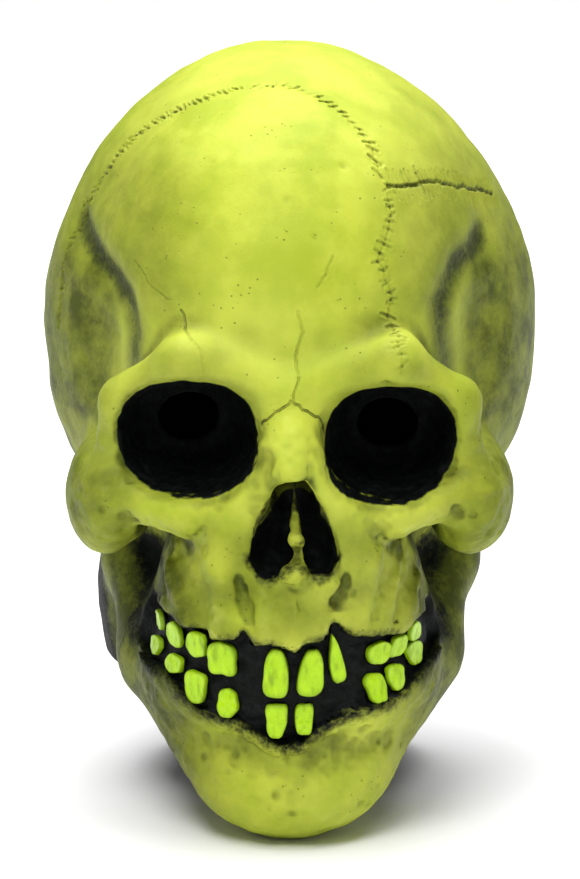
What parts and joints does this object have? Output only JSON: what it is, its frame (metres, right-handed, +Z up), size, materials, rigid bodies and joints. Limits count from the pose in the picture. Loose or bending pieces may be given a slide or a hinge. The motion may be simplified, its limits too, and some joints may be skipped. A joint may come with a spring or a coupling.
{
  "type": "latex halloween mask",
  "caption": "Full-head latex skull mask in acid yellow-green, with black sockets and gums, raised teeth, a flexing jaw and a slit at the back",
  "frame": {"origin": "centre of the bounding box at the base: the plane the chin and the rear rim rest on", "axes": "+Z up towards the crown, the face looks along -Y, +X to the wearer's left"},
  "size_m": [0.1898, 0.2344, 0.2839],
  "materials": {
    "painted_skin": "slightly satin latex paint, airbrushed darker in the hollows",
    "black_neck": "matt black latex paint",
    "black_recess": "rough black latex paint",
    "black_gum": "rough black latex paint with a faint sheen",
    "tooth_paint": "satin bright yellow-green paint"
  },
  "bodies": {
    "root": {"cranium_skin": "painted_skin", "face_skin": "painted_skin", "neck_side_left": "black_neck", "neck_side_right": "black_neck", "orbit_cup_left": "black_recess", "orbit_cup_right": "black_recess", "nose_cup": "black_recess", "nasal_septum": "painted_skin", "upper_gum": "black_gum", "upper_tooth_1": "tooth_paint", "upper_tooth_2": "tooth_paint", "upper_tooth_3": "tooth_paint", "upper_tooth_4": "tooth_paint", "upper_tooth_5": "tooth_paint", "upper_tooth_6": "tooth_paint", "upper_tooth_7": "tooth_paint", "upper_tooth_8": "tooth_paint", "upper_tooth_9": "tooth_paint", "upper_tooth_10": "tooth_paint"},
    "jaw": {"jaw_skin": "painted_skin", "lower_gum": "black_gum", "lower_tooth_1": "tooth_paint", "lower_tooth_2": "tooth_paint", "lower_tooth_3": "tooth_paint", "lower_tooth_4": "tooth_paint", "lower_tooth_5": "tooth_paint", "lower_tooth_6": "tooth_paint", "lower_tooth_7": "tooth_paint", "lower_tooth_8": "tooth_paint", "lower_tooth_9": "tooth_paint"},
    "flap_left": {"rear_flap_left": "black_neck"},
    "flap_right": {"rear_flap_right": "black_neck"}
  },
  "joints": [
    {"name": "jaw_flex", "type": "hinge", "parent": "root", "child": "jaw", "pos_m": [0, 0.00165, 0.116], "axis": [1, 0, 0], "range_deg": [0, 6], "stiffness_Nm_per_rad": 5},
    {"name": "flap_left_fold", "type": "hinge", "parent": "root", "child": "flap_left", "pos_m": [-0.00608, 0.09645, 0.09265], "axis": [0.6344, 0.3895, 0.6677], "range_deg": [0, 20], "stiffness_Nm_per_rad": 2},
    {"name": "flap_right_fold", "type": "hinge", "parent": "root", "child": "flap_right", "pos_m": [0.00608, 0.09645, 0.09265], "axis": [0.6344, -0.3895, -0.6677], "range_deg": [0, 20], "stiffness_Nm_per_rad": 2}
  ]
}
